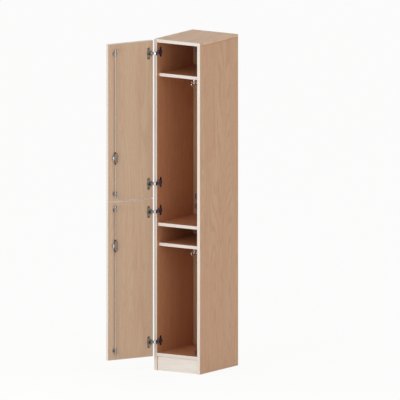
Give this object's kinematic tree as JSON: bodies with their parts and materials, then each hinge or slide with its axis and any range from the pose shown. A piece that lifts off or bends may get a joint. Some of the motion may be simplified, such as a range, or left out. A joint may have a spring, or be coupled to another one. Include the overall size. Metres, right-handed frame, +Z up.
{
  "type": "two-door locker unit",
  "caption": "Tall narrow locker in beech laminate: stacked doors open on wide-angle cup hinges, rod locks, hat shelves and hooks.",
  "frame": {"origin": "on the floor, under the middle of the plinth board", "axes": "+X to the right of someone facing the open front, +Y to the back, +Z up"},
  "size_m": [0.4288, 0.6845, 1.85],
  "materials": {
    "beech": "matt beech laminate on board",
    "back_board": "matt beech laminate on thin board",
    "plinth": "matt cream laminate on board",
    "edging": "satin cream edging strip",
    "chrome": "bright plated steel",
    "dark_nickel": "dark nickel plate",
    "rod_steel": "zinc-plated rod",
    "lock_nickel": "nickel-plated die casting"
  },
  "bodies": {
    "carcass": {"top_panel": "beech", "left_side_panel": "beech", "right_side_panel": "beech", "back_panel": "back_board", "base_panel": "beech", "divider_panel": "beech", "upper_hat_shelf": "beech", "lower_hat_shelf": "beech", "plinth_board": "plinth", "plinth_rail": "beech", "top_edging": "edging", "left_side_edging": "edging", "right_side_edging": "edging", "base_edging": "edging", "divider_edging": "edging", "upper_hat_shelf_edging": "edging", "lower_hat_shelf_edging": "edging", "upper_coat_hook": "chrome", "lower_coat_hook": "chrome", "upper_door_upper_hinge_plate": "dark_nickel", "upper_door_lower_hinge_plate": "dark_nickel", "lower_door_upper_hinge_plate": "dark_nickel", "lower_door_lower_hinge_plate": "dark_nickel", "upper_door_upper_hinge_arm": "dark_nickel", "upper_door_lower_hinge_arm": "dark_nickel", "lower_door_upper_hinge_arm": "dark_nickel", "lower_door_lower_hinge_arm": "dark_nickel", "upper_door_top_strike": "lock_nickel", "upper_door_bottom_strike": "lock_nickel", "lower_door_top_strike": "lock_nickel", "lower_door_bottom_strike": "lock_nickel"},
    "upper_door": {"upper_door_panel": "beech", "upper_door_edging": "edging", "upper_lock_case": "lock_nickel", "upper_door_upper_hinge_cup": "lock_nickel", "upper_door_lower_hinge_cup": "lock_nickel", "upper_door_top_guide": "lock_nickel", "upper_door_bottom_guide": "lock_nickel"},
    "lower_door": {"lower_door_panel": "beech", "lower_door_edging": "edging", "lower_lock_case": "lock_nickel", "lower_door_upper_hinge_cup": "lock_nickel", "lower_door_lower_hinge_cup": "lock_nickel", "lower_door_top_guide": "lock_nickel", "lower_door_bottom_guide": "lock_nickel"},
    "upper_arm_links": {"upper_door_upper_hinge_arm_link": "chrome", "upper_door_lower_hinge_arm_link": "chrome"},
    "lower_arm_links": {"lower_door_upper_hinge_arm_link": "chrome", "lower_door_lower_hinge_arm_link": "chrome"},
    "upper_cup_links": {"upper_door_upper_hinge_cup_link": "chrome", "upper_door_lower_hinge_cup_link": "chrome"},
    "lower_cup_links": {"lower_door_upper_hinge_cup_link": "chrome", "lower_door_lower_hinge_cup_link": "chrome"},
    "upper_rods": {"upper_door_upper_rod": "rod_steel", "upper_door_lower_rod": "rod_steel"},
    "lower_rods": {"lower_door_upper_rod": "rod_steel", "lower_door_lower_rod": "rod_steel"},
    "upper_plug": {"upper_key_plug": "chrome"},
    "lower_plug": {"lower_key_plug": "chrome"}
  },
  "joints": [
    {"name": "upper_door_swing", "type": "hinge", "parent": "carcass", "child": "upper_door", "pos_m": [-0.1512, -0.0349, 1.4], "axis": [0, 0, 1], "range_deg": [0, 115]},
    {"name": "lower_door_swing", "type": "hinge", "parent": "carcass", "child": "lower_door", "pos_m": [-0.1512, -0.0349, 0.5], "axis": [0, 0, 1], "range_deg": [0, 115]},
    {"name": "upper_arm_link_turn", "type": "hinge", "parent": "carcass", "child": "upper_arm_links", "pos_m": [-0.121, -0.019, 1.4], "axis": [0, 0, 1], "range_deg": [0, 115]},
    {"name": "lower_arm_link_turn", "type": "hinge", "parent": "carcass", "child": "lower_arm_links", "pos_m": [-0.121, -0.019, 0.5], "axis": [0, 0, 1], "range_deg": [0, 115]},
    {"name": "upper_cup_link_turn", "type": "hinge", "parent": "upper_door", "child": "upper_cup_links", "pos_m": [-0.14901, -0.056, 1.4], "axis": [0, 0, 1], "range_deg": [-115, 0]},
    {"name": "lower_cup_link_turn", "type": "hinge", "parent": "lower_door", "child": "lower_cup_links", "pos_m": [-0.14901, -0.056, 0.5], "axis": [0, 0, 1], "range_deg": [-115, 0]},
    {"name": "upper_rods_turn", "type": "hinge", "parent": "upper_door", "child": "upper_rods", "pos_m": [-0.23697, -0.27538, 1.21], "axis": [0, 0, -1], "range_deg": [0, 90]},
    {"name": "lower_rods_turn", "type": "hinge", "parent": "lower_door", "child": "lower_rods", "pos_m": [-0.23697, -0.27538, 0.72], "axis": [0, 0, -1], "range_deg": [0, 90]},
    {"name": "upper_plug_turn", "type": "hinge", "parent": "upper_door", "child": "upper_plug", "pos_m": [-0.24675, -0.27744, 1.21], "axis": [0.9063, -0.4226, 0], "range_deg": [0, 90]},
    {"name": "lower_plug_turn", "type": "hinge", "parent": "lower_door", "child": "lower_plug", "pos_m": [-0.24675, -0.27744, 0.72], "axis": [0.9063, -0.4226, 0], "range_deg": [0, 90]}
  ],
  "couplings": [
    {"joint": "upper_arm_link_turn", "follows": "upper_door_swing", "ratio": 1},
    {"joint": "lower_arm_link_turn", "follows": "lower_door_swing", "ratio": 1},
    {"joint": "upper_cup_link_turn", "follows": "upper_door_swing", "ratio": -1},
    {"joint": "lower_cup_link_turn", "follows": "lower_door_swing", "ratio": -1},
    {"joint": "upper_plug_turn", "follows": "upper_rods_turn", "ratio": 1},
    {"joint": "lower_plug_turn", "follows": "lower_rods_turn", "ratio": 1}
  ]
}
